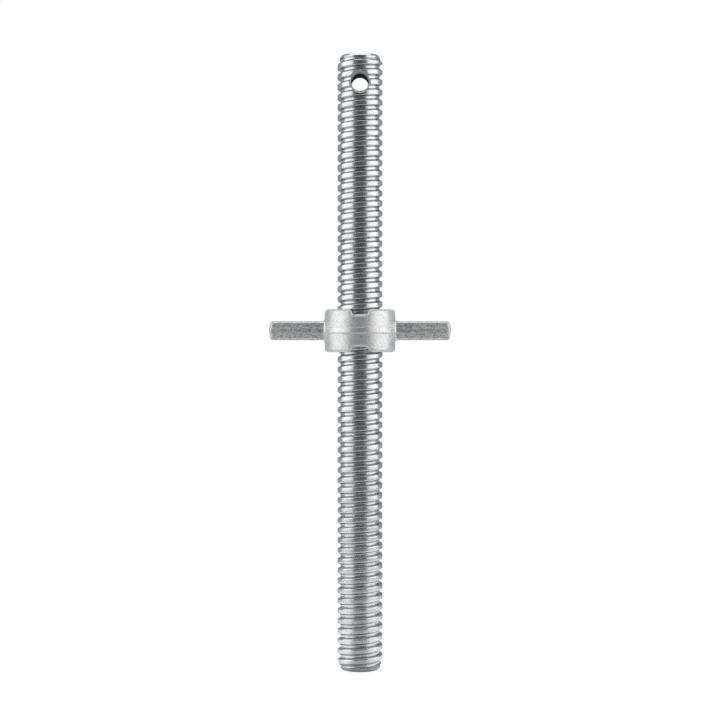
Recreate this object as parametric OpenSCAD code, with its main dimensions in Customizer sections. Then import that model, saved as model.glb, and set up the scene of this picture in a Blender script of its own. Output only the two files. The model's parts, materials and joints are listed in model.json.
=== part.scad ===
// Scaffold base jack: a solid steel rod with a rolled coarse thread, and a cast
// nut with two bar handles that is screwed along it to set a frame's height.
// All sizes are in millimetres. The origin is the centre of the rod's foot and
// +Z runs up the rod. The handles point along X and the cross hole along Y.

/* [Rod] */
// Length of the rod from its foot to its top end
rod_length = 488; // [400:8:560]
// Diameter over the thread crests
thread_d = 36; // [34:0.5:40]
// Depth of the thread, from crest to root
thread_depth = 2.5; // [1.5:0.1:3]
// Rise of the single right-hand thread in one turn
pitch = 8; // [7:0.5:10]
// Width of the flat crest, measured along the rod
crest_w = 3.6; // [3:0.1:4]
// Width of the flat root, measured along the rod
root_w = 1.6; // [1:0.1:2.5]
// Height of the first crest above the foot, on the rod's +X side
first_crest = 2.6; // [0:0.1:7.9]
// Length of the turned lead-in at each end of the rod
lead_in = 5; // [2:0.1:6]
// Diameter of the sawn face at each end, below the thread root
end_d = 28.8; // [24:0.2:30]
// Flat faces that each turn of the thread is drawn with
steps_per_turn = 24; // [16:4:32]

/* [Cross hole] */
// Diameter of the pin hole through the rod
hole_d = 13.6; // [10:0.1:16]
// Distance from the top end down to the axis of the hole
hole_drop = 22.8; // [15:0.1:60]
// Diameter of the countersunk mouth of the hole, at the thread root
mouth_d = 17; // [16.5:0.1:20]
// Depth of the countersink below the thread root
mouth_depth = 3.2; // [1:0.1:4]

/* [Nut] */
// Height of the nut's middle above the foot, where it stands at rest
nut_z = 269.5; // [60:0.5:320]
// Height of the nut's barrel
nut_h = 34; // [30:0.5:45]
// Diameter of the barrel at its two rims
rim_d = 56; // [54:0.5:60]
// Diameter of the barrel beside the parting band, where the draft is widest
waist_d = 57; // [56:0.5:62]
// How far the parting band stands proud of the barrel
band_step = 0.3; // [0.1:0.1:1]
// Height of the parting band round the middle of the nut
band_h = 4.6; // [3:0.2:8]
// Radius of the rounded outer edge of each rim
rim_round = 2.2; // [1:0.1:3]
// Free play round the thread crests in the nut's bore
bore_play = 0.3; // [0.2:0.05:0.6]
// Width of the countersink at each mouth of the nut's bore
bore_chamfer = 1.2; // [0.5:0.1:2]

/* [Rim notches] */
// Width of each notch at the face of the rim
notch_mouth_w = 14.2; // [10:0.2:20]
// Width of each notch at its floor
notch_floor_w = 11.4; // [8:0.2:14]
// Depth of each notch below the face of the rim
notch_depth = 4.2; // [2:0.2:6]
// Width of the chamfer along each notch at the face of the rim
notch_chamfer = 0.8; // [0.2:0.1:1.5]

/* [Handles] */
// Length over the tips of both handles
handle_span = 144.5; // [110:0.5:220]
// Height of a handle
handle_h = 15.1; // [12:0.1:18]
// Thickness of a handle from front to back, at its parting band
handle_t = 13.5; // [11:0.5:16]
// Height of the upright band along the middle of a handle
handle_band_h = 3.6; // [2:0.2:5]
// Draft of a handle's sloping faces, in degrees
handle_draft = 14; // [5:1:18]
// Width of the chamfer along a handle's four long edges
handle_chamfer = 1.6; // [0.6:0.1:2]
// Radius of the domed tip
tip_r = 20; // [12:0.5:26]
// How far the fillet at a handle's root runs out along the handle
root_flare = 1.8; // [1:0.1:4]

/* [Hidden] */
$fn = 96;
overlap = 1;
steel = [0.70, 0.72, 0.73];
cast = [0.62, 0.64, 0.65];

crest_r = thread_d / 2;
root_r = crest_r - thread_depth;
end_r = end_d / 2;
flank_w = (pitch - crest_w - root_w) / 2;

// One turn's section: its four corners, as a height above the middle of the crest and a radius
corners = [
    [-crest_w / 2 - flank_w, root_r],
    [-crest_w / 2, crest_r],
    [crest_w / 2, crest_r],
    [crest_w / 2 + flank_w, root_r],
];

// Steps along the helix are counted from the first crest and run out past both ends
first_step = -steps_per_turn * ceil((first_crest + pitch) / pitch);
last_step = steps_per_turn * ceil((rod_length - first_crest + 2 * pitch) / pitch);
end_snap = 0.3;

function corner_z(step, corner) =
    first_crest + pitch * step / steps_per_turn + corners[corner][0];

// The lead-in trims every corner near an end to a cone
function lead_r(z) =
    end_r + (crest_r - end_r) * min(z, rod_length - z) / lead_in;

function corner_point(step, corner) =
    let (
        angle = 360 * step / steps_per_turn,
        z = corner_z(step, corner),
        r = min(corners[corner][1], max(end_r, lead_r(z)))
    )
    [r * cos(angle), r * sin(angle), z];

function ring(z) =
    [for (i = [0:steps_per_turn - 1])
        let (angle = 360 * i / steps_per_turn)
        [end_r * cos(angle), end_r * sin(angle), z]];

// A corner that lies past an end is the point of that end's ring in the same column
function point_id(step, corner) =
    let (
        z = corner_z(step, corner),
        column = (step - first_step) % steps_per_turn
    )
    z < end_snap ? column :
    z > rod_length - end_snap ? steps_per_turn + column :
    2 * steps_per_turn + 4 * (step - first_step) + corner;

// Two triangles between one step and the next, less any that has shrunk to a line
function strip(low_left, low_right, high_right, high_left) =
    [for (face = [[low_left, high_left, high_right], [low_left, high_right, low_right]])
        if (face[0] != face[1] && face[1] != face[2] && face[2] != face[0]) face];

// The rolled bar: one helical skin from foot to top, closed by a flat disc at each end
module threaded_bar() {
    points = concat(
        ring(0),
        ring(rod_length),
        [for (step = [first_step:last_step], corner = [0:3]) corner_point(step, corner)]
    );
    thread = [for (step = [first_step:last_step - 1], corner = [0:2])
        each strip(
            point_id(step, corner), point_id(step + 1, corner),
            point_id(step + 1, corner + 1), point_id(step, corner + 1)
        )];
    root = [for (step = [first_step:last_step - 1 - steps_per_turn])
        let (above = step + steps_per_turn)
        each strip(
            point_id(step, 3), point_id(step + 1, 3),
            point_id(above + 1, 0), point_id(above, 0)
        )];
    foot = [[for (i = [0:steps_per_turn - 1]) i]];
    top = [[for (i = [steps_per_turn - 1:-1:0]) steps_per_turn + i]];
    polyhedron(points, concat(foot, top, thread, root), convexity = 10);
}

// The pin hole along Y, with a countersink at both mouths
module cross_hole() {
    mouth_bottom = root_r - mouth_depth;
    widening = (mouth_d - hole_d) / 2 / mouth_depth;
    mouth_h = crest_r + overlap - mouth_bottom;
    translate([0, 0, rod_length - hole_drop]) {
        rotate([90, 0, 0]) cylinder(d = hole_d, h = thread_d + 2 * overlap, center = true);
        for (turn = [90, -90])
            rotate([turn, 0, 0])
                translate([0, 0, mouth_bottom])
                    cylinder(r1 = hole_d / 2, r2 = hole_d / 2 + widening * mouth_h, h = mouth_h);
    }
}

module threaded_rod() {
    color(steel)
        difference() {
            threaded_bar();
            cross_hole();
        }
}

// A quarter round from the rim's face down to its side
function rim_corner() =
    [for (angle = [90:-15:0])
        [rim_d / 2 - rim_round + rim_round * cos(angle),
         nut_h / 2 - rim_round + rim_round * sin(angle)]];

// The cast barrel tapers from its waist to both rims, as a casting drawn both ways does
module barrel() {
    upper = concat(
        rim_corner(),
        [[waist_d / 2, band_h / 2], [waist_d / 2 + band_step, band_h / 2]]
    );
    lower = [for (i = [len(upper) - 1:-1:0]) [upper[i][0], -upper[i][1]]];
    rotate_extrude()
        polygon(concat([[0, nut_h / 2]], upper, lower, [[0, -nut_h / 2]]));
}

// Section across a handle: an upright band, drafted faces and chamfered long edges.
// It grows by that much above and below, and by half as much at front and back.
module handle_section(grow = 0) {
    edge_z = handle_h / 2 - handle_chamfer;
    edge_y = handle_t / 2 - (edge_z - handle_band_h / 2) * tan(handle_draft);
    quarter = [
        [handle_t / 2 + grow / 2, handle_band_h / 2],
        [edge_y + grow / 2, edge_z + grow],
        [edge_y - handle_chamfer + grow / 2, handle_h / 2 + grow],
    ];
    polygon(concat(
        quarter,
        [for (i = [2:-1:0]) [-quarter[i][0], quarter[i][1]]],
        [for (i = [0:2]) [-quarter[i][0], -quarter[i][1]]],
        [for (i = [2:-1:0]) [quarter[i][0], -quarter[i][1]]]
    ));
}

// Both handles as one bar through the barrel, with domed tips
module handles() {
    dome_x = handle_span / 2 - tip_r;
    intersection() {
        rotate([90, 0, 90])
            linear_extrude(height = handle_span, center = true) handle_section();
        union() {
            rotate([0, 90, 0]) cylinder(r = tip_r, h = 2 * dome_x, center = true);
            for (side = [-1, 1])
                translate([side * dome_x, 0, 0]) sphere(r = tip_r);
        }
    }
}

// The fillet at a handle's root: the handle's section, swelling into the barrel
module handle_root() {
    slice = 0.1;
    for (side = [0, 1])
        mirror([side, 0, 0])
            hull() {
                translate([waist_d / 2 - root_flare, 0, 0])
                    rotate([90, 0, 90])
                        linear_extrude(height = slice) handle_section(grow = 2 * root_flare);
                translate([waist_d / 2 + root_flare - slice, 0, 0])
                    rotate([90, 0, 90])
                        linear_extrude(height = slice) handle_section();
            }
}

// A slot across the top rim that leaves a notch at the front and one at the back
module notch() {
    lean = (notch_mouth_w - notch_floor_w) / 2 / notch_depth;
    half = [
        [notch_floor_w / 2, nut_h / 2 - notch_depth],
        [notch_mouth_w / 2 - lean * notch_chamfer, nut_h / 2 - notch_chamfer],
        [notch_mouth_w / 2 + notch_chamfer, nut_h / 2],
        [notch_mouth_w / 2 + notch_chamfer, nut_h / 2 + overlap],
    ];
    rotate([90, 0, 0])
        linear_extrude(height = waist_d + 4 * overlap, center = true)
            polygon(concat(half, [for (i = [len(half) - 1:-1:0]) [-half[i][0], half[i][1]]]));
}

module nut_bore() {
    bore_r = crest_r + bore_play;
    cylinder(r = bore_r, h = nut_h + 2 * overlap, center = true);
    for (side = [0, 1])
        mirror([0, 0, side])
            translate([0, 0, nut_h / 2 - bore_chamfer])
                cylinder(
                    r1 = bore_r,
                    r2 = bore_r + bore_chamfer + overlap,
                    h = bore_chamfer + overlap
                );
}

module handle_nut() {
    color(cast)
        translate([0, 0, nut_z])
            difference() {
                union() {
                    barrel();
                    handles();
                    handle_root();
                }
                nut_bore();
                notch();
                mirror([0, 0, 1]) notch();
            }
}

threaded_rod();
handle_nut();
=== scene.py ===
import json
import math

import bmesh
import bpy
from mathutils import Matrix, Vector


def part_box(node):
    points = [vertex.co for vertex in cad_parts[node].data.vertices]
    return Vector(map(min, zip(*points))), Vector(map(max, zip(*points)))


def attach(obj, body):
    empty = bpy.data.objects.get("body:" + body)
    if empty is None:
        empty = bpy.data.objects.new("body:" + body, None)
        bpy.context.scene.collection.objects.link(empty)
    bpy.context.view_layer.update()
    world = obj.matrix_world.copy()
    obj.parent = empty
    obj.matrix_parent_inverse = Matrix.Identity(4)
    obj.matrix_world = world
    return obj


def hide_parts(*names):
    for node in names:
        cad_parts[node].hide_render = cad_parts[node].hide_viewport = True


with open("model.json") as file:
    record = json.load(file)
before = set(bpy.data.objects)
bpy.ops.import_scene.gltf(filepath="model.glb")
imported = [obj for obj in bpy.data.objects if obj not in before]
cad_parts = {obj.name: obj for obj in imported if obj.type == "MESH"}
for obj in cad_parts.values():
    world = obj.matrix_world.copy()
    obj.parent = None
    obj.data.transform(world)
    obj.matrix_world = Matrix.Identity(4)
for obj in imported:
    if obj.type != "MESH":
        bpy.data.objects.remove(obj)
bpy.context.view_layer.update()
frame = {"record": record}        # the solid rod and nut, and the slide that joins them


# ---------------------------------------------------------------------------
# Threaded rod: one length of solid steel bar, zinc plated. Its coarse right-hand
# thread is rolled cold between dies, the ends are sawn and turned to a short
# lead-in, and the pin hole is drilled through and countersunk from both sides.

MM = 0.001
mounts = {mount["name"]: mount for mount in frame["record"]["mounts"]}
rod_low, rod_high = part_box("threaded_rod")
rod_length = rod_high.z - rod_low.z
crest_r = 18 * MM
thread_depth = 2.5 * MM
root_r = crest_r - thread_depth
pitch = 8 * MM
crest_w = 3.6 * MM
root_w = 1.6 * MM
first_crest = 2.6 * MM
corner_blend = 1.1 * MM
rolling_waviness = 0.14 * MM
lead_in = 5 * MM
end_r = 14.4 * MM
hole_r = mounts["cross_hole"]["dims"]["r_mm"] * MM
hole_z = mounts["cross_hole"]["pos_m"][2]
mouth_r = 8.1 * MM
mouth_depth = 3.2 * MM
mouth_bottom = root_r - mouth_depth
cone_widening = (mouth_r - hole_r) / mouth_depth
sides_per_turn = 60
samples_per_pitch = 16
spare_turns = 2
steel_dull = (0.64, 0.66, 0.68, 1)
steel_bright = (0.82, 0.83, 0.83, 1)
steel_highlight = (0.98, 0.98, 0.98, 1)
steel_shade_and_pits = (0.11, 0.115, 0.12, 1)


def join(value, slot):
    """Feeds a socket with another socket or with a plain value."""
    if isinstance(value, Field):
        value.tree.links.new(value.socket, slot)
    else:
        slot.default_value = value


class Field:
    """A socket of a node tree that is written in a formula as a number is."""

    def __init__(self, tree, socket):
        self.tree = tree
        self.socket = socket

    def math(self, operation, *others):
        node = self.tree.nodes.new("ShaderNodeMath")
        node.operation = operation
        for slot, value in zip(node.inputs, (self, *others)):
            join(value, slot)
        return Field(self.tree, node.outputs[0])

    def __add__(self, other):
        return self.math("ADD", other)

    def __sub__(self, other):
        return self.math("SUBTRACT", other)

    def __rsub__(self, other):
        return -self + other

    def __mul__(self, other):
        return self.math("MULTIPLY", other)

    def __truediv__(self, other):
        return self.math("DIVIDE", other)

    def __neg__(self):
        return self * -1

    def __abs__(self):
        return self.math("ABSOLUTE")

    def above(self, other):
        return self.math("GREATER_THAN", other)

    def below(self, other):
        return self.math("LESS_THAN", other)

    def least(self, other):
        return self.math("MINIMUM", other)

    def most(self, other):
        return self.math("MAXIMUM", other)

    def sin(self):
        return self.math("SINE")

    def cos(self):
        return self.math("COSINE")

    def root(self):
        return self.math("SQRT")


def node(tree, kind, values=None, **settings):
    """Adds a node, with its settings and its inputs by name or number."""
    made = tree.nodes.new(kind)
    for name, value in settings.items():
        setattr(made, name, value)
    for name, value in (values or {}).items():
        join(value, made.inputs[name])
    return made


def field(tree, kind, output, values=None, **settings):
    """The named output of a new node, ready for a formula."""
    return Field(tree, node(tree, kind, values, **settings).outputs[output])


def vector(tree, x, y, z):
    """Three fields or numbers as one vector."""
    return field(tree, "ShaderNodeCombineXYZ", 0, {"X": x, "Y": y, "Z": z})


def parts_of(tree, place):
    """The x, y and z of a vector socket."""
    split = node(tree, "ShaderNodeSeparateXYZ", {0: place})
    return [Field(tree, out) for out in split.outputs]


def noise_at(tree, place, scale, detail):
    """Soft random field from 0 to 1 that is the same each time."""
    return field(
        tree, "ShaderNodeTexNoise", 0,
        {"Vector": place, "Scale": scale, "Detail": detail},
        noise_dimensions="3D",
    )


def ramp(tree, value, low, high):
    """Rises smoothly from 0 to 1 as a value goes from low to high."""
    return field(
        tree, "ShaderNodeMapRange", 0, {"Value": value, "From Min": low, "From Max": high},
        interpolation_type="SMOOTHSTEP",
    )


def new_tree(name, sizes, counts=()):
    """A geometry tree with named inputs, and those inputs as fields."""
    tree = bpy.data.node_groups.new(name, "GeometryNodeTree")
    tree.is_modifier = True
    for size in sizes:
        tree.interface.new_socket(name=size, in_out="INPUT", socket_type="NodeSocketFloat")
    for count in counts:
        tree.interface.new_socket(name=count, in_out="INPUT", socket_type="NodeSocketInt")
    tree.interface.new_socket(name="Material", in_out="INPUT", socket_type="NodeSocketMaterial")
    tree.interface.new_socket(name="Mesh", in_out="OUTPUT", socket_type="NodeSocketGeometry")
    given = tree.nodes.new("NodeGroupInput")
    inputs = {out.name: Field(tree, out) for out in given.outputs if out.name}
    return tree, inputs


def end_tree(tree, mesh, material):
    """Every tree ends in real geometry that carries its material."""
    real = field(tree, "GeometryNodeRealizeInstances", 0, {"Geometry": mesh})
    clad = field(tree, "GeometryNodeSetMaterial", 0, {"Geometry": real, "Material": material})
    join(clad, tree.nodes.new("NodeGroupOutput").inputs[0])


def thread_tree():
    """A helical sheet that is one pitch tall, wound until its turns close into a bar."""
    tree, given = new_tree(
        "rolled thread",
        ["Start", "Pitch", "Crest Radius", "Root Radius", "Crest Width", "Root Width",
         "Corner Blend", "Waviness"],
        ["Turns", "Sides", "Samples"],
    )
    columns = given["Turns"] * given["Sides"] + 1
    grid = field(
        tree, "GeometryNodeMeshGrid", 0,
        {"Vertices X": given["Samples"] + 1, "Vertices Y": columns},
    )
    # The grid's points are numbered row by row, so a row's number is a whole quotient
    rounding = 1e-4
    index = field(tree, "GeometryNodeInputIndex", 0)
    across = (index / columns + rounding).math("FLOOR") / given["Samples"] - 0.5
    turn = index.math("FLOORED_MODULO", columns) / given["Sides"]

    # More of the samples fall on the two flanks than on the crest and the root
    denser_flanks = (across * (4 * math.pi)).sin() * 0.04
    rise = (across + denser_flanks) * given["Pitch"]
    angle = turn * (2 * math.pi)
    z = given["Start"] + given["Pitch"] * turn + rise

    # Past the middle of its end turns the sheet folds in to the axis and closes the bar
    fold = 0.501
    lowest = given["Start"] + given["Pitch"] * fold
    highest = given["Start"] + given["Pitch"] * (given["Turns"] - fold)
    kept = z.above(lowest) * z.below(highest)
    z = z.most(lowest).least(highest)

    # Rolling leaves the crest a little uneven in height and in width
    place = vector(tree, angle.cos() * given["Crest Radius"], angle.sin() * given["Crest Radius"], z)
    wave = noise_at(tree, place, 90, 2)
    shake = noise_at(tree, place, 150, 2) - 0.5
    half_crest = given["Crest Width"] * 0.5 + shake * given["Waviness"] * 3
    flank_w = (given["Pitch"] - given["Crest Width"] - given["Root Width"]) * 0.5
    slope = (given["Crest Radius"] - given["Root Radius"]) / flank_w
    crest = given["Crest Radius"] - wave * given["Waviness"]
    flank = given["Crest Radius"] - (abs(rise) - half_crest) * slope
    r = flank.math("SMOOTH_MIN", crest, given["Corner Blend"])
    r = r.math("SMOOTH_MAX", given["Root Radius"], given["Corner Blend"]) * kept

    moved = field(
        tree, "GeometryNodeSetPosition", 0,
        {"Geometry": grid, "Position": vector(tree, angle.cos() * r, angle.sin() * r, z)},
    )
    welded = field(
        tree, "GeometryNodeMergeByDistance", 0, {"Geometry": moved, "Distance": 0.01 * MM}
    )
    outward = field(tree, "GeometryNodeFlipFaces", 0, {"Mesh": welded})
    end_tree(tree, outward, given["Material"])
    return tree


def grow(name, tree, values):
    """Runs a geometry tree with these inputs and keeps its result as a plain mesh."""
    holder = bpy.data.objects.new(name + " source", bpy.data.meshes.new(name))
    bpy.context.scene.collection.objects.link(holder)
    modifier = holder.modifiers.new("tree", "NODES")
    modifier.node_group = tree
    for socket in tree.interface.items_tree:
        if socket.in_out == "INPUT" and socket.name in values:
            modifier[socket.identifier] = values[socket.name]
    holder.update_tag()
    depsgraph = bpy.context.evaluated_depsgraph_get()
    mesh = bpy.data.meshes.new_from_object(holder.evaluated_get(depsgraph))
    bpy.data.objects.remove(holder)
    return new_piece(name, mesh)


def new_piece(name, mesh):
    """Puts a mesh on the bench as a piece, with its place in the mesh itself."""
    piece = bpy.data.objects.new(name, mesh)
    bpy.context.scene.collection.objects.link(piece)
    return piece


def turned(name, outline, sides=96, turn=Matrix.Identity(4)):
    """A closed turned solid from its outline, given as radius and height from end to end."""
    shape = bmesh.new()
    rings = []
    for r, z in outline:
        if r == 0:
            rings.append([shape.verts.new((0, 0, z))])
            continue
        steps = [2 * math.pi * i / sides for i in range(sides)]
        rings.append([shape.verts.new((r * math.cos(a), r * math.sin(a), z)) for a in steps])
    for low, high in zip(rings, rings[1:]):
        for i in range(sides):
            corners = [low[i % len(low)], low[(i + 1) % len(low)],
                       high[(i + 1) % len(high)], high[i % len(high)]]
            shape.faces.new(list(dict.fromkeys(corners)))
    bmesh.ops.recalc_face_normals(shape, faces=shape.faces)
    mesh = bpy.data.meshes.new(name)
    shape.to_mesh(mesh)
    shape.free()
    mesh.transform(turn)
    return new_piece(name, mesh)


def machine(piece, operation, tool):
    """Cuts a piece with a tool's solid, or trims it to that solid, and drops the tool."""
    modifier = piece.modifiers.new("cut", "BOOLEAN")
    modifier.operation = operation
    modifier.solver = "MANIFOLD"
    modifier.object = tool
    depsgraph = bpy.context.evaluated_depsgraph_get()
    mesh = bpy.data.meshes.new_from_object(piece.evaluated_get(depsgraph))
    piece.modifiers.clear()
    piece.data = mesh
    bpy.data.objects.remove(tool)


thread = thread_tree()
rod = grow("rolled_rod", thread, {
    "Start": first_crest - spare_turns * pitch,
    "Pitch": pitch,
    "Crest Radius": crest_r,
    "Root Radius": root_r,
    "Crest Width": crest_w,
    "Root Width": root_w,
    "Corner Blend": corner_blend,
    "Waviness": rolling_waviness,
    "Turns": math.ceil(rod_length / pitch) + 2 * spare_turns,
    "Sides": sides_per_turn,
    "Samples": samples_per_pitch,
})
blank_r = crest_r + 1 * MM
lead = [(end_r, 0), (16 * MM, 1.7 * MM), (16.4 * MM, 4.5 * MM), (blank_r, 6.6 * MM)]
machine(rod, "INTERSECT", turned("blank", [
    (0, 0), *lead, *[(r, rod_length - z) for r, z in reversed(lead)], (0, rod_length),
]))
drill_reach = 20 * MM
drill_r = hole_r + cone_widening * (drill_reach - mouth_bottom)
machine(rod, "DIFFERENCE", turned(
    "drill",
    [(0, -drill_reach), (drill_r, -drill_reach), (hole_r, -mouth_bottom),
     (hole_r, mouth_bottom), (drill_r, drill_reach), (0, drill_reach)],
    turn=Matrix.Translation((0, 0, hole_z)) @ Matrix.Rotation(math.pi / 2, 4, "X"),
))


def smooth(piece, sharp_angle):
    """Rounds a piece's shading off, apart from corners sharper than this many degrees."""
    piece.data.shade_smooth()
    piece.data.set_sharp_from_angle(angle=math.radians(sharp_angle))


smooth(rod, 32)


def new_material(name):
    """A Principled material, its tree, its shader and its object coordinates in millimetres."""
    material = bpy.data.materials.new(name)
    material.use_nodes = True
    tree = material.node_tree
    shader = tree.nodes["Principled BSDF"]
    place = field(tree, "ShaderNodeTexCoord", "Object")
    scaled = field(
        tree, "ShaderNodeVectorMath", 0, {0: place, 1: (1 / MM,) * 3}, operation="MULTIPLY"
    )
    return material, tree, shader, scaled


def zinc_skin():
    """Zinc plating: cloudy and grainy, brightened by one mask and dimmed by the other; they carry
    wear, fresh metal and dark marks, and also painted highlights and painted shade.
    """
    group = bpy.data.node_groups.new("zinc skin", "ShaderNodeTree")
    for name, kind in (("Place", "Vector"), ("Cloud Scale", "Float"), ("Grain Scale", "Float"),
                       ("Grain Share", "Float"), ("Brighten", "Float"), ("Hollow", "Float"),
                       ("Dull", "Color"), ("Bright", "Color"), ("Shade", "Color")):
        group.interface.new_socket(name=name, in_out="INPUT", socket_type="NodeSocket" + kind)
    for name, kind in (("Colour", "Color"), ("Tone", "Float"), ("Grain", "Float")):
        group.interface.new_socket(name=name, in_out="OUTPUT", socket_type="NodeSocket" + kind)
    given = {out.name: Field(group, out) for out in group.nodes.new("NodeGroupInput").outputs}
    cloud = noise_at(group, given["Place"], given["Cloud Scale"], 4)
    grain = noise_at(group, given["Place"], given["Grain Scale"], 3)
    tone = cloud + (grain - cloud) * given["Grain Share"] + given["Brighten"] * 0.5
    plain = blend(group, ramp(group, tone, 0.3, 0.7), given["Dull"], given["Bright"])
    colour = blend(group, given["Hollow"], plain, given["Shade"])
    given_out = group.nodes.new("NodeGroupOutput")
    for slot, value in zip(given_out.inputs, (colour, tone, grain)):
        join(value, slot)
    return group


def blend(tree, factor, first, second):
    """One colour passing into another as the factor goes from 0 to 1."""
    mixed = node(tree, "ShaderNodeMix", {"Factor": factor, 6: first, 7: second}, data_type="RGBA")
    return Field(tree, mixed.outputs[2])


zinc = zinc_skin()


def plated_steel():
    """Bright zinc over rolled steel: satin, with fine marks along the way it was rolled."""
    material, tree, shader, place = new_material("plated steel")
    x, y, z = parts_of(tree, place)
    radius = (x * x + y * y).root()

    # The flanks are painted darker than the crest and the root, as painted shade in the thread's
    # grooves, a little more so on the two sides that the handles point to, and the turned ends have
    # none
    from_end = z.least(rod_length / MM - z)
    cone_r = from_end * ((crest_r - end_r) / lead_in) + end_r / MM
    threaded = radius.below(cone_r - 0.1)
    flank = ramp(tree, radius, root_r / MM + 0.05, root_r / MM + 0.8) * ramp(
        tree, radius, crest_r / MM - 0.15, crest_r / MM - 0.9
    ) * threaded
    side_shade = ramp(tree, abs(y) / radius, 0.45, 0.1)

    # The bore is painted dark as painted shade; its cone is fresh metal, paler partly as a painted
    # highlight, and the cone's lower side gets a further painted highlight
    above_hole = z - hole_z / MM
    from_axis = (x * x + above_hole * above_hole).root()
    past_bore = (abs(y) - mouth_bottom / MM).most(0)
    past_cone = from_axis - (past_bore * cone_widening + hole_r / MM)
    cut = past_cone.below(0.08)
    bore_shade = cut * ramp(tree, past_bore, 0.5, 0.05)
    coned = cut - bore_shade
    lower_cone_highlight = coned * ramp(tree, above_hole, -2, -5)
    # A thin painted shadow rings the outside of the cone's mouth
    cone_rim_shadow = ramp(tree, past_cone, 0.9, 0.3) * (1 - cut)

    # Fine marks run round the bar, and a few small pits are left by the plating
    rolled = field(
        tree, "ShaderNodeVectorMath", 0, {0: place, 1: (0.15, 0.15, 4)}, operation="MULTIPLY"
    )
    lines = noise_at(tree, rolled, 1, 3)
    pits = ramp(tree, noise_at(tree, place, 0.42, 2), 0.30, 0.24) * (1 - cut)
    # Painted shade: the flanks, the bore and the ring round the cone darken the zinc, and so do the
    # real pits
    shaded_flank = flank * (side_shade * 0.2 + 0.42) * (1 - cut)
    skin = node(tree, "ShaderNodeGroup", {
        "Place": place, "Cloud Scale": 0.12, "Grain Scale": 1.6, "Grain Share": 0.3,
        "Brighten": coned,
        "Hollow": shaded_flank.most(bore_shade).most(cone_rim_shadow * 0.75).most(pits * 0.4),
        "Dull": steel_dull,
        "Bright": blend(tree, lower_cone_highlight, steel_bright, steel_highlight),
        "Shade": steel_shade_and_pits,
    }, node_tree=zinc)
    join(Field(tree, skin.outputs["Colour"]), shader.inputs["Base Color"])
    join(1 - coned * 0.65 - lower_cone_highlight * 0.3 - bore_shade, shader.inputs["Metallic"])
    tone = Field(tree, skin.outputs["Tone"])
    satin = tone * 0.12 + lines * 0.08 + 0.17
    join(satin + coned * 0.25 + bore_shade * 0.7, shader.inputs["Roughness"])
    bump = node(tree, "ShaderNodeBump", {
        "Strength": 0.3, "Distance": 0.05 * MM,
        "Height": lines * 0.7 + Field(tree, skin.outputs["Grain"]) * 0.5 - pits,
    })
    join(Field(tree, bump.outputs[0]), shader.inputs["Normal"])
    return material


rod.data.materials.clear()
rod.data.materials.append(plated_steel())
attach(rod, "rod")
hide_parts("threaded_rod")


# ---------------------------------------------------------------------------
# Handle nut: one casting, zinc plated. A tapered barrel with a parting band round
# its middle carries two drafted bars to turn it by, both rims are notched for the
# frame's leg, and the thread that runs on the rod is cut through it last.

nut_low, nut_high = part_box("handle_nut")
nut_z = (nut_low.z + nut_high.z) / 2
nut_h = nut_high.z - nut_low.z
half_span = nut_high.x
rim_r = 28 * MM
waist_r = 28.5 * MM
band_step = 0.3 * MM
band_h = 4.6 * MM
parting_rise = 0.3 * MM
rim_round = 2.2 * MM
handle_h = 15.1 * MM
handle_t = 13.5 * MM
handle_band_h = 3.6 * MM
handle_draft = math.radians(14)
handle_edge = 1.8 * MM
tip_r = 20 * MM
tip_edge = 1.4 * MM
root_fillet = 1.8 * MM
notch_mouth_w = 14.2 * MM
notch_floor_w = 11.4 * MM
notch_depth = 4.2 * MM
notch_edge = 0.5 * MM
notch_rim = 2 * MM
bore_play = 0.3 * MM
bore_chamfer = 1.2 * MM
band_edge = 0.15 * MM
swell_depth = 0.12 * MM
barrel_pebble = 0.08 * MM
bar_pebble = 0.24 * MM
skin_inset = 0.05 * MM
voxel = 0.45 * MM
cast_dull = (0.30, 0.33, 0.36, 1)
cast_bright = (0.98, 0.985, 0.98, 1)
cast_shaded = (0.25, 0.26, 0.27, 1)


def rounded(a, b, radius):
    """The solid that two distance fields share, with its edge rounded."""
    u = a + radius
    v = b + radius
    outside = u.most(0) * u.most(0) + v.most(0) * v.most(0)
    return outside.root() + u.most(v).least(0) - radius


def filleted(a, b, radius):
    """The solid that two distance fields make together, with its inner corner filled."""
    return -rounded(-a, -b, radius)


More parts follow.
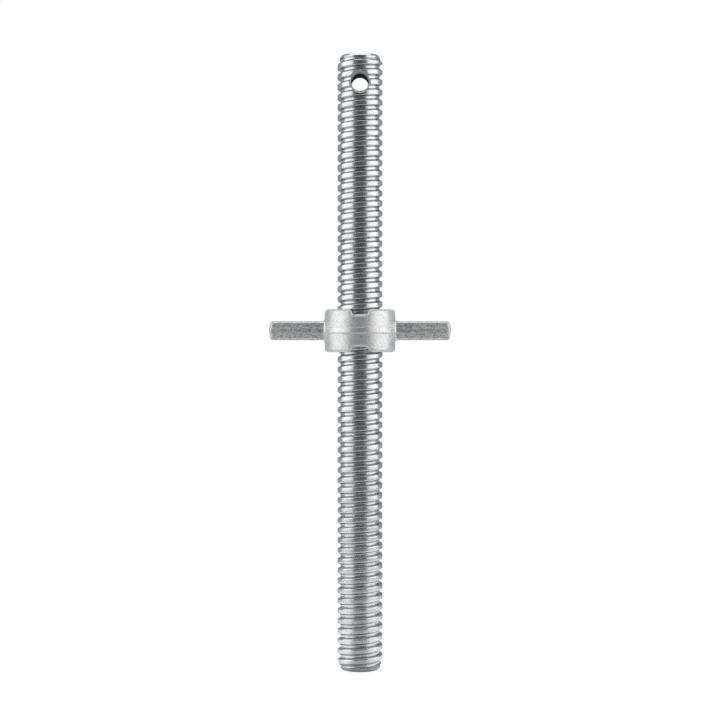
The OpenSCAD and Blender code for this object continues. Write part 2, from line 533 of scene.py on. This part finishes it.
def casting_tree():
    """The whole casting as one distance field, skinned where the distance is nought."""
    tree, given = new_tree("nut casting", [
        "Centre Z", "Height", "Rim Radius", "Waist Radius", "Rim Round",
        "Band Step", "Band Height", "Band Edge", "Parting Rise",
        "Half Span", "Handle Height", "Handle Thickness", "Handle Band", "Handle Draft",
        "Handle Edge", "Tip Radius", "Tip Edge", "Root Fillet",
        "Notch Mouth", "Notch Floor", "Notch Depth", "Notch Edge", "Notch Rim",
        "Swell", "Barrel Pebble", "Bar Pebble", "Inset", "Voxel",
    ])
    x, y, z = parts_of(tree, field(tree, "GeometryNodeInputPosition", 0))
    z = z - given["Centre Z"]
    up = abs(z)
    side = abs(x)
    radius = (x * x + y * y).root()
    half_h = given["Height"] / 2
    waist = given["Waist Radius"]

    # The barrel, drafted both ways from its band
    half_band = given["Band Height"] / 2
    taper = (waist - given["Rim Radius"]) / (half_h - half_band)
    from_parting = abs(z - given["Parting Rise"])
    past_band = (from_parting - half_band).most(0)
    barrel_side = radius - waist + past_band * taper
    band_side = radius - (waist + given["Band Step"])
    band = rounded(band_side, from_parting - half_band, given["Band Edge"])
    barrel = rounded(barrel_side, up - half_h, given["Rim Round"]).least(band)

    # Both bars, with their domed tips, filleted into the barrel
    drafted = (from_parting - given["Handle Band"] / 2).most(0)
    draft = given["Handle Draft"]
    half_t = given["Handle Thickness"] / 2 - drafted * draft.math("TANGENT")
    face = (abs(y) - half_t) * draft.cos()
    section = rounded(face, up - given["Handle Height"] / 2, given["Handle Edge"])
    past_dome = (side - (given["Half Span"] - given["Tip Radius"])).most(0)
    tip = (past_dome * past_dome + y * y + z * z).root() - given["Tip Radius"]
    handle = rounded(section, tip, given["Tip Edge"])
    solid = filleted(barrel, handle, given["Root Fillet"])

    # The notches at the front and back of both rims
    lean = (given["Notch Mouth"] - given["Notch Floor"]) / 2 / given["Notch Depth"]
    above_floor = up - (half_h - given["Notch Depth"])
    wall = side - given["Notch Floor"] / 2 - above_floor * lean
    slot = rounded(wall, -above_floor, given["Notch Edge"])
    solid = rounded(solid, -slot, given["Notch Rim"])

    # The sand leaves its surface a little uneven, and more so on the bars
    place = field(tree, "GeometryNodeInputPosition", 0)
    swell = noise_at(tree, place, 120, 2) - 0.5
    pebble = noise_at(tree, place, 500, 1) - 0.5
    on_bar = ramp(tree, side, waist, waist + 3 * MM)
    pebble_depth = on_bar * (given["Bar Pebble"] - given["Barrel Pebble"]) + given["Barrel Pebble"]
    skin = solid + (swell * given["Swell"] + pebble * pebble_depth) + given["Inset"]

    # The skin is drawn where a steep ramp across it passes its middle value
    margin = 2 * MM
    steepness = 1000
    middle = 5.0
    reach = vector(tree, given["Half Span"] + margin, waist + margin, half_h + margin)
    centre = vector(tree, 0, 0, given["Centre Z"])
    low = field(tree, "ShaderNodeVectorMath", 0, {0: centre, 1: reach}, operation="SUBTRACT")
    high = field(tree, "ShaderNodeVectorMath", 0, {0: centre, 1: reach}, operation="ADD")
    per_voxel = given["Voxel"].math("POWER", -1)
    cube = field(tree, "GeometryNodeVolumeCube", 0, {
        "Density": -skin * steepness + middle, "Background": 0.0, "Min": low, "Max": high,
        "Resolution X": (given["Half Span"] + margin) * per_voxel * 2,
        "Resolution Y": (waist + margin) * per_voxel * 2,
        "Resolution Z": (half_h + margin) * per_voxel * 2,
    })
    mesh = field(
        tree, "GeometryNodeVolumeToMesh", 0,
        {"Volume": cube, "Threshold": middle, "Adaptivity": 0.0}, resolution_mode="GRID",
    )

    # Where the skin stands out from its own average is an edge, which wear reaches first and which
    # the material also brightens as a painted highlight; where it sinks in is a fillet, which gets a
    # painted highlight
    place = field(tree, "GeometryNodeInputPosition", 0)
    evened = field(
        tree, "GeometryNodeBlurAttribute", 0, {"Value": place, "Iterations": 3},
        data_type="FLOAT_VECTOR",
    )
    bulge = field(tree, "ShaderNodeVectorMath", 0, {0: place, 1: evened}, operation="SUBTRACT")
    outward = field(
        tree, "ShaderNodeVectorMath", "Value",
        {0: bulge, 1: field(tree, "GeometryNodeInputNormal", 0)}, operation="DOT_PRODUCT",
    )
    marked = field(
        tree, "GeometryNodeStoreNamedAttribute", 0,
        {"Geometry": mesh, "Name": "edge", "Value": outward / (0.1 * MM)},
        data_type="FLOAT", domain="POINT",
    )
    end_tree(tree, marked, given["Material"])
    return tree


nut = grow("cast_nut", casting_tree(), {
    "Centre Z": nut_z,
    "Height": nut_h,
    "Rim Radius": rim_r,
    "Waist Radius": waist_r,
    "Rim Round": rim_round,
    "Band Step": band_step,
    "Band Height": band_h,
    "Band Edge": band_edge,
    "Parting Rise": parting_rise,
    "Half Span": half_span,
    "Handle Height": handle_h,
    "Handle Thickness": handle_t,
    "Handle Band": handle_band_h,
    "Handle Draft": handle_draft,
    "Handle Edge": handle_edge,
    "Tip Radius": tip_r,
    "Tip Edge": tip_edge,
    "Root Fillet": root_fillet,
    "Notch Mouth": notch_mouth_w,
    "Notch Floor": notch_floor_w,
    "Notch Depth": notch_depth,
    "Notch Edge": notch_edge,
    "Notch Rim": notch_rim,
    "Swell": swell_depth,
    "Barrel Pebble": barrel_pebble,
    "Bar Pebble": bar_pebble,
    "Inset": skin_inset,
    "Voxel": voxel,
})
nut_turns = math.ceil(nut_h / pitch) + 2 * spare_turns
crests_below = math.floor((nut_low.z - first_crest) / pitch) - spare_turns
tap = grow("tap", thread, {
    "Start": first_crest + crests_below * pitch,
    "Pitch": pitch,
    "Crest Radius": crest_r + bore_play,
    "Root Radius": root_r + bore_play,
    "Crest Width": crest_w + 2 * bore_play,
    "Root Width": root_w - 2 * bore_play,
    "Corner Blend": corner_blend,
    "Waviness": 0.0,
    "Turns": nut_turns,
    "Sides": sides_per_turn,
    "Samples": samples_per_pitch,
})
machine(nut, "DIFFERENCE", tap)
mouth_out_r = crest_r + bore_play + bore_chamfer
for face_z, way in ((nut_high.z, 1), (nut_low.z, -1)):
    countersink = bore_chamfer + thread_depth
    machine(nut, "DIFFERENCE", turned("countersink", [
        (0, face_z - way * countersink),
        (mouth_out_r - countersink, face_z - way * countersink),
        (mouth_out_r + countersink, face_z + way * countersink),
        (0, face_z + way * countersink),
    ]))
smooth(nut, 40)


def plated_casting():
    """Dull zinc over a sand casting: pebbled, cloudy, brighter where it is worn, with painted
    highlights on its edges, bands and fillets.
    """
    material, tree, shader, place = new_material("plated casting")
    x, _, z = parts_of(tree, place)

    # Hands and frame legs rub the edges bright, and the edges also get a painted highlight; the
    # fillets get a painted highlight, pale and soft
    edge = field(tree, "ShaderNodeAttribute", "Fac", attribute_name="edge")
    edge_wear_and_highlight = ramp(tree, edge, 0.15, 0.6)
    fillet_highlight = ramp(tree, edge, -0.4, -1.0)

    # The band round the barrel and the band along each bar catch the light at their edges
    from_parting = abs(z - (nut_z + parting_rise) / MM)
    on_bar = ramp(tree, abs(x), waist_r / MM, waist_r / MM + 1)
    band_top = ramp(tree, abs(from_parting - band_h / MM / 2), 0.5, 0.1) * (1 - on_bar)
    bar_top = ramp(tree, abs(from_parting - handle_band_h / MM / 2), 0.7, 0.2) * on_bar
    banded = from_parting.below(band_h / MM / 2) * (1 - on_bar)

    # The bars are streaked along their length, dark in the low spots and pale in the high
    streaks = field(
        tree, "ShaderNodeVectorMath", 0, {0: place, 1: (0.42, 0.85, 0.85)}, operation="MULTIPLY"
    )
    streak = noise_at(tree, streaks, 1, 3)
    pale = ramp(tree, streak, 0.54, 0.64) * on_bar
    dark = ramp(tree, streak, 0.5, 0.4) * on_bar
    # Edge wear, the painted highlights on the band edges and fillets, and the pale streaks all
    # brighten the zinc
    worn_and_lit = edge_wear_and_highlight.most(band_top * 0.6).most(bar_top * (1 - dark * 0.7)).most(pale * 0.7)
    bright = worn_and_lit.most(fillet_highlight * 0.8)
    skin = node(tree, "ShaderNodeGroup", {
        "Place": place, "Cloud Scale": 0.25, "Grain Scale": 1.0, "Grain Share": 0.9,
        "Brighten": bright + 0.3, "Hollow": dark * 0.48,
        "Dull": cast_dull, "Bright": cast_bright, "Shade": cast_shaded,
    }, node_tree=zinc)
    join(Field(tree, skin.outputs["Colour"]), shader.inputs["Base Color"])
    tone = Field(tree, skin.outputs["Tone"])
    join(0.41 - bright * 0.1 - tone * 0.12 - banded * 0.03, shader.inputs["Roughness"])
    join(banded * 0.08 + 0.57 - bright * 0.5, shader.inputs["Metallic"])
    bump = node(tree, "ShaderNodeBump", {
        "Strength": 0.9, "Distance": 0.14 * MM,
        "Height": Field(tree, skin.outputs["Grain"]) * 1.6 + streak * on_bar * 3,
    })
    join(Field(tree, bump.outputs[0]), shader.inputs["Normal"])
    return material


nut.data.materials.clear()
nut.data.materials.append(plated_casting())
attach(nut, "nut")
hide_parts("handle_nut")


# ---------------------------------------------------------------------------
# Studio: a pale round table under soft light from both sides and from above, with
# the side that the camera stands on left dim, so that the metal has a dark middle.

table_r = 0.5
table_thickness = 4 * MM
table_gap = 0.2 * MM
table = turned("studio_table", [
    (0, 0), (table_r, 0), (table_r, -table_thickness), (0, -table_thickness),
], sides=128)
table.data.transform(Matrix.Translation((0, 0, -table_gap)))


def table_white():
    """White to look at, with a grey shadow, and bright at the sides in the metal."""
    material = bpy.data.materials.new("table white")
    material.use_nodes = True
    tree = material.node_tree
    tree.nodes.clear()
    path = node(tree, "ShaderNodeLightPath")
    mirrored = Field(tree, path.outputs["Is Glossy Ray"]).most(
        Field(tree, path.outputs["Is Transmission Ray"])
    )
    seen = Field(tree, path.outputs["Is Camera Ray"])

    # The metal mirrors a table with painted light on it: bright at the sides, and a painted shadow
    # that dims it close round the foot
    x, y, _ = parts_of(tree, field(tree, "ShaderNodeTexCoord", "Object"))
    from_foot = (x * x + y * y).root()
    sideways = ramp(tree, abs(x) / from_foot, 0.35, 0.95)
    lit = (sideways * 0.5 + 0.2) * (ramp(tree, from_foot, 16 * MM, 50 * MM) * 0.7 + 0.3)

    # The grey paint keeps the jack's shadow, and what is seen of it is lifted to white
    paint = node(tree, "ShaderNodeBsdfDiffuse", {"Color": (0.5, 0.5, 0.5, 1)})
    lift = node(tree, "ShaderNodeEmission", {
        "Color": (1, 1, 1, 1), "Strength": seen * 0.75 + mirrored * lit,
    })
    both = node(tree, "ShaderNodeAddShader")
    tree.links.new(paint.outputs[0], both.inputs[0])
    tree.links.new(lift.outputs[0], both.inputs[1])
    out = tree.nodes.new("ShaderNodeOutputMaterial")
    tree.links.new(both.outputs[0], out.inputs["Surface"])
    return material


table.data.materials.append(table_white())


def panel(name, place, turn, width, height, level):
    """A soft light of that size and brightness, in metres."""
    lamp = bpy.data.lights.new(name, "AREA")
    lamp.shape = "RECTANGLE"
    lamp.size = width
    lamp.size_y = height
    lamp.energy = level * math.pi * width * height
    lamp.color = (1, 0.985, 0.96)
    shown = bpy.data.objects.new(name, lamp)
    shown.location = place
    shown.rotation_euler = turn
    shown.visible_camera = False
    bpy.context.scene.collection.objects.link(shown)


for name, way in (("light left", -1), ("light right", 1)):
    facing_in = (math.pi / 2, 0, way * math.pi / 2)
    panel(name, (way * 1.0, -0.54, 0.65), facing_in, width=1.52, height=1.28, level=1.17)
panel("light above", (0, 0, 1.8), (0, 0, 0), width=1.4, height=1.2, level=1.1)

# The room is dim in front and paler behind and below, and white straight past the jack
world = bpy.data.worlds.new("studio")
bpy.context.scene.world = world
world.use_nodes = True
sky = world.node_tree
sky.nodes.clear()
_, towards_back, up = parts_of(sky, field(sky, "ShaderNodeTexCoord", "Generated"))
walls = field(sky, "ShaderNodeMapRange", 0, {
    "Value": towards_back, "From Min": -1.0, "From Max": 0.7, "To Min": 0.08, "To Max": 0.35,
})
room = walls + ramp(sky, up, -0.05, -0.13) * 0.06
backdrop = ramp(sky, towards_back, 0.93, 0.98)
path = node(sky, "ShaderNodeLightPath")
mirrored = Field(sky, path.outputs["Is Glossy Ray"]).most(
    Field(sky, path.outputs["Is Transmission Ray"])
)
white = Field(sky, path.outputs["Is Camera Ray"]).most(mirrored * backdrop)
level = room + (1 - room) * white
tint = blend(sky, white, (0.93, 1.0, 1.06, 1), (1, 1, 1, 1))
background = node(sky, "ShaderNodeBackground", {"Color": tint, "Strength": level})
sky.links.new(background.outputs[0], sky.nodes.new("ShaderNodeOutputWorld").inputs[0])

scene = bpy.context.scene
scene.view_settings.view_transform = "Standard"
lens = bpy.data.cameras.new("camera")
lens.sensor_width = 36
lens.lens = 91.1
lens.clip_start = 0.05
lens.clip_end = 50
camera = bpy.data.objects.new("camera", lens)
camera.location = (0, -1.45, 0.262)
camera.rotation_euler = (math.radians(89.378), 0, 0)
scene.collection.objects.link(camera)
scene.camera = camera
